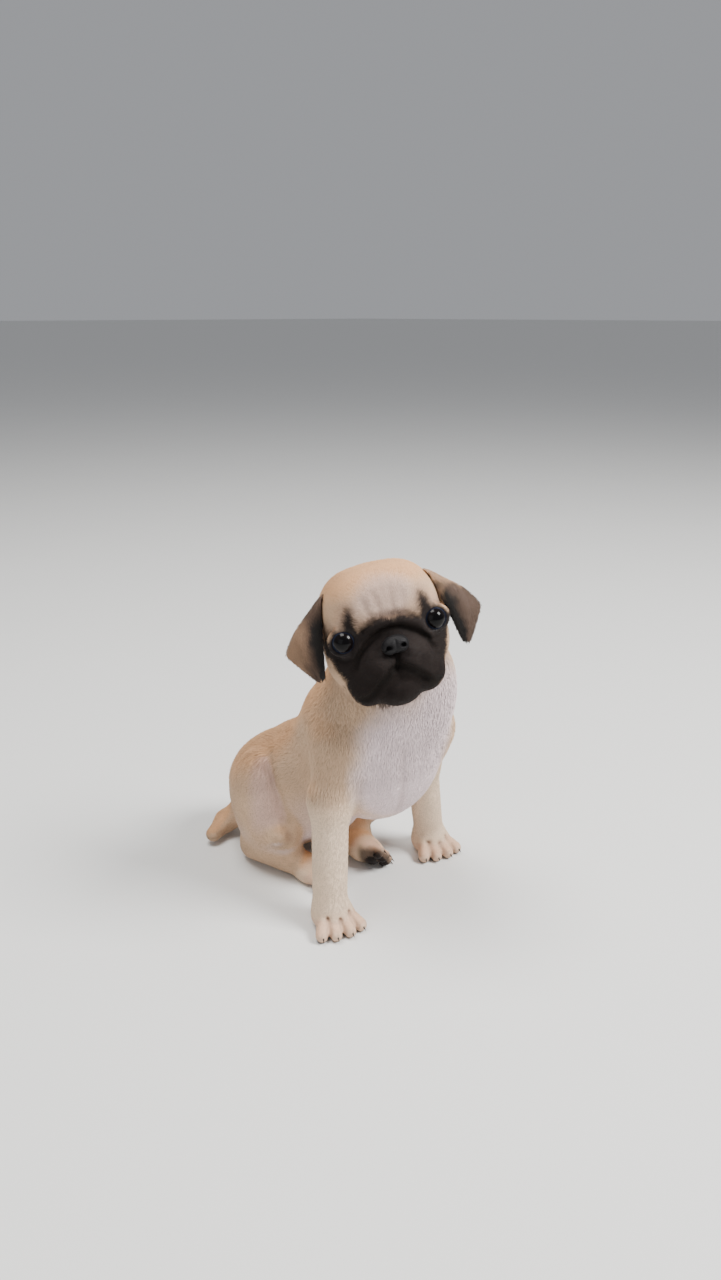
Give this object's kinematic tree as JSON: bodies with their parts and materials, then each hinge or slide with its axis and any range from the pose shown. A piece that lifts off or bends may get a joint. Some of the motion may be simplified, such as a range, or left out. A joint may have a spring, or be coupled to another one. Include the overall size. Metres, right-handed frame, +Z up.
{
  "type": "sitting pug puppy model",
  "caption": "Life-size still model of a fawn pug puppy sitting upright with tilted head, black mask, folded ears and short tail.",
  "frame": {"origin": "on the floor, under the middle of the whole model's bounding box", "axes": "+Z up, the chest faces -Y, +X is the puppy's own left"},
  "size_m": [0.1362, 0.1844, 0.2201],
  "materials": {
    "coat": "short dense fawn fur",
    "paw": "short cream fur",
    "ear": "dark velvety fur",
    "eye": "wet gloss",
    "nose_leather": "fine pebbled, moist"
  },
  "bodies": {
    "root": {"head": "coat", "neck": "coat", "torso": "coat", "tail": "coat", "ear_left": "ear", "ear_right": "ear", "eye_left": "eye", "eye_right": "eye", "nose": "nose_leather", "front_left_leg": "coat", "front_right_leg": "coat", "hind_left_thigh": "coat", "hind_right_thigh": "coat", "hind_left_shank": "coat", "hind_right_shank": "coat", "front_left_paw": "paw", "front_right_paw": "paw", "hind_left_paw": "paw", "hind_right_paw": "paw"}
  },
  "joints": []
}
